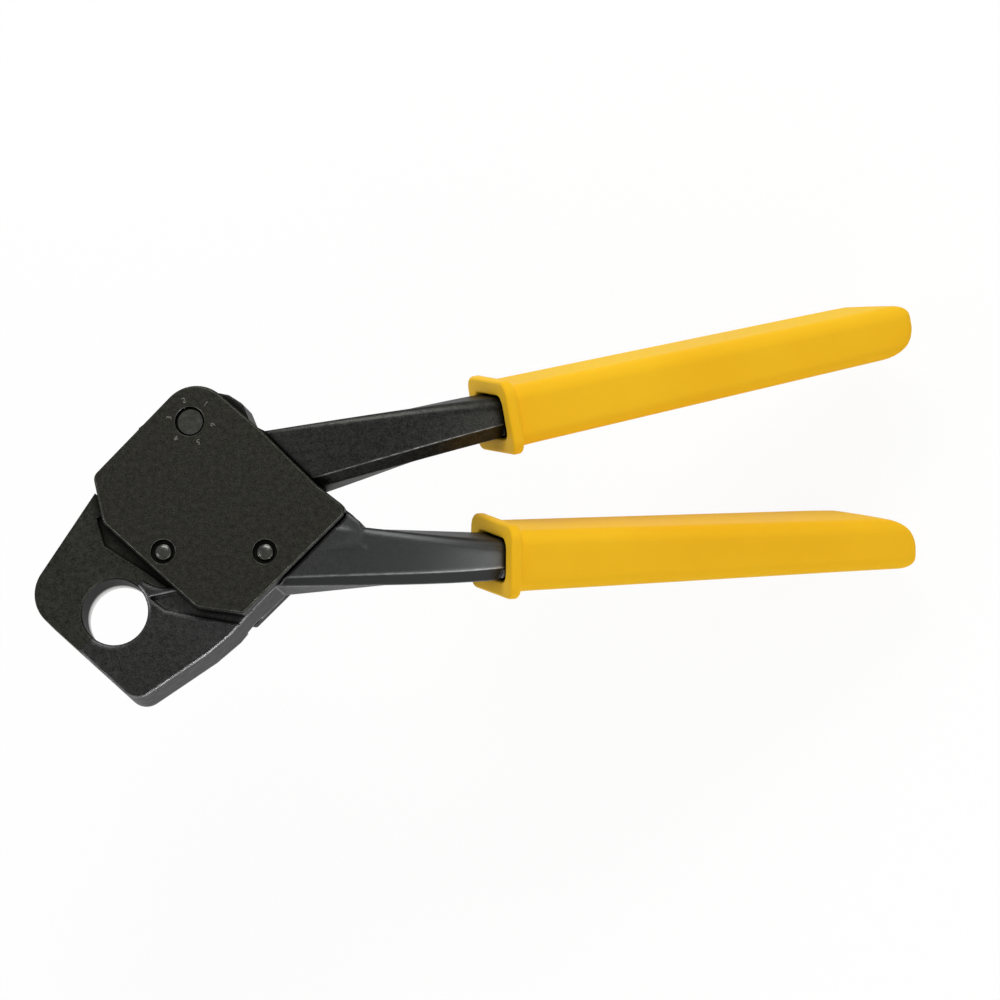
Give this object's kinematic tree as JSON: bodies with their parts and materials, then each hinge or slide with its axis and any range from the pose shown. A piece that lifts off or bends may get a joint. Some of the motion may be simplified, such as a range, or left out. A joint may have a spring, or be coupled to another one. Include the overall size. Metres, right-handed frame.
{
  "type": "pex crimp ring tool",
  "caption": "Hand crimping tool for plastic-pipe rings: round-die jaws driven by a toothed handle between side plates, cranked arms with yellow grips.",
  "frame": {"origin": "centre of the round crimping die at the middle of the jaws' thickness, jaws closed", "axes": "+Z along the pipe that the die crimps and along every pin, towards the face with the marked adjuster; +X from the jaws towards the handles; +Y towards the moving handle"},
  "size_m": [0.2265, 0.1168, 0.0891],
  "materials": {
    "black_steel": "black oxide over ground and forged steel, light oil sheen",
    "pin_steel": "black oxide on turned ends, edges rubbed brighter",
    "yellow_vinyl": "moulded soft vinyl, satin gloss"
  },
  "bodies": {
    "lower_handle": {"lower_lever": "black_steel", "front_plate": "black_steel", "back_plate": "black_steel", "jaw_pin": "pin_steel", "lever_rivet": "pin_steel", "locating_dowel": "pin_steel", "adjuster_pin": "pin_steel", "adjuster_washer": "black_steel", "adjuster_nut": "black_steel", "lower_grip": "yellow_vinyl"},
    "jaw": {"moving_jaw": "black_steel"},
    "upper_handle_body": {"upper_handle": "black_steel", "upper_grip": "yellow_vinyl"}
  },
  "joints": [
    {"name": "handle_pivot", "type": "hinge", "parent": "lower_handle", "child": "upper_handle_body", "pos_m": [0.02044, 0.05077, 0], "axis": [0, 0, 1], "range_deg": [0, 58]},
    {"name": "jaw_pivot", "type": "hinge", "parent": "lower_handle", "child": "jaw", "pos_m": [0.01345, 0.01547, 0], "axis": [0, 0, 1], "range_deg": [-32.3, 0]}
  ],
  "couplings": [
    {"joint": "jaw_pivot", "follows": "handle_pivot", "ratio": -0.55556}
  ]
}
